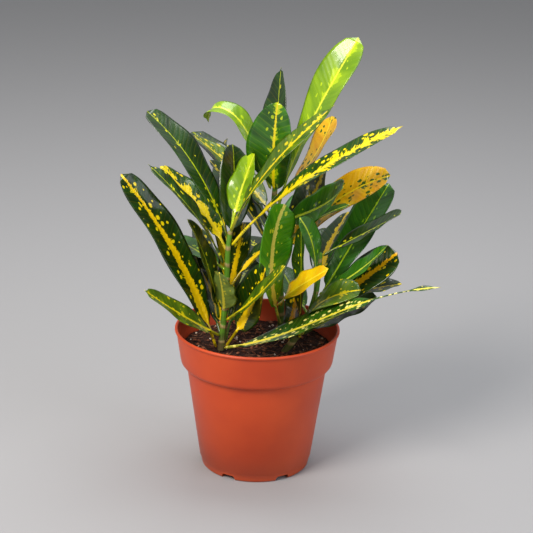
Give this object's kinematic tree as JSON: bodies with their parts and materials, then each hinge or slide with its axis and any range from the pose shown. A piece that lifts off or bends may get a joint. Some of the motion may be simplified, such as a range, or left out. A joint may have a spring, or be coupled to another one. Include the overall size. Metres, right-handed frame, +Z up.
{
  "type": "potted croton plant",
  "caption": "Young narrow-leaved croton with yellow-marked leaves on rooted stems, standing in compost in a round tapered plastic grow pot with an upright collar",
  "frame": {"origin": "on the surface the pot stands on, under the middle of the whole plant's box", "axes": "+Z up, the front of the plant faces -Y, its longest leaves spread along X"},
  "size_m": [0.2234, 0.1634, 0.3176],
  "materials": {
    "pot": "moulded terracotta-coloured plastic, satin",
    "soil": "damp peat and fibre compost",
    "stem": "green to brown bark, matt",
    "leaf": "waxy leaf, glossy upper side with yellow and orange markings"
  },
  "bodies": {
    "root": {"leaf_left_01": "leaf", "leaf_left_02": "leaf", "leaf_left_03": "leaf", "leaf_left_04": "leaf", "leaf_left_05": "leaf", "leaf_left_06": "leaf", "leaf_left_07": "leaf", "leaf_left_08": "leaf", "leaf_left_09": "leaf", "leaf_left_10": "leaf", "leaf_left_11": "leaf", "leaf_left_12": "leaf", "leaf_left_13": "leaf", "leaf_left_14": "leaf", "leaf_left_15": "leaf", "leaf_left_16": "leaf", "leaf_left_17": "leaf", "leaf_left_18": "leaf", "leaf_left_19": "leaf", "leaf_left_20": "leaf", "leaf_left_21": "leaf", "leaf_left_22": "leaf", "leaf_left_23": "leaf", "leaf_left_24": "leaf", "leaf_middle_01": "leaf", "leaf_middle_02": "leaf", "leaf_middle_03": "leaf", "leaf_middle_04": "leaf", "leaf_middle_05": "leaf", "leaf_middle_06": "leaf", "leaf_middle_07": "leaf", "leaf_middle_08": "leaf", "leaf_middle_09": "leaf", "leaf_middle_10": "leaf", "leaf_middle_11": "leaf", "leaf_middle_12": "leaf", "leaf_middle_13": "leaf", "leaf_middle_14": "leaf", "leaf_middle_15": "leaf", "leaf_middle_16": "leaf", "leaf_middle_17": "leaf", "leaf_right_01": "leaf", "leaf_right_02": "leaf", "leaf_right_03": "leaf", "leaf_right_04": "leaf", "leaf_right_05": "leaf", "leaf_right_06": "leaf", "leaf_right_07": "leaf", "leaf_right_08": "leaf", "leaf_right_09": "leaf", "leaf_right_10": "leaf", "leaf_right_11": "leaf", "leaf_right_12": "leaf", "leaf_right_13": "leaf", "pot": "pot", "soil": "soil", "stem_left": "stem", "stem_middle": "stem", "stem_right": "stem"}
  },
  "joints": []
}
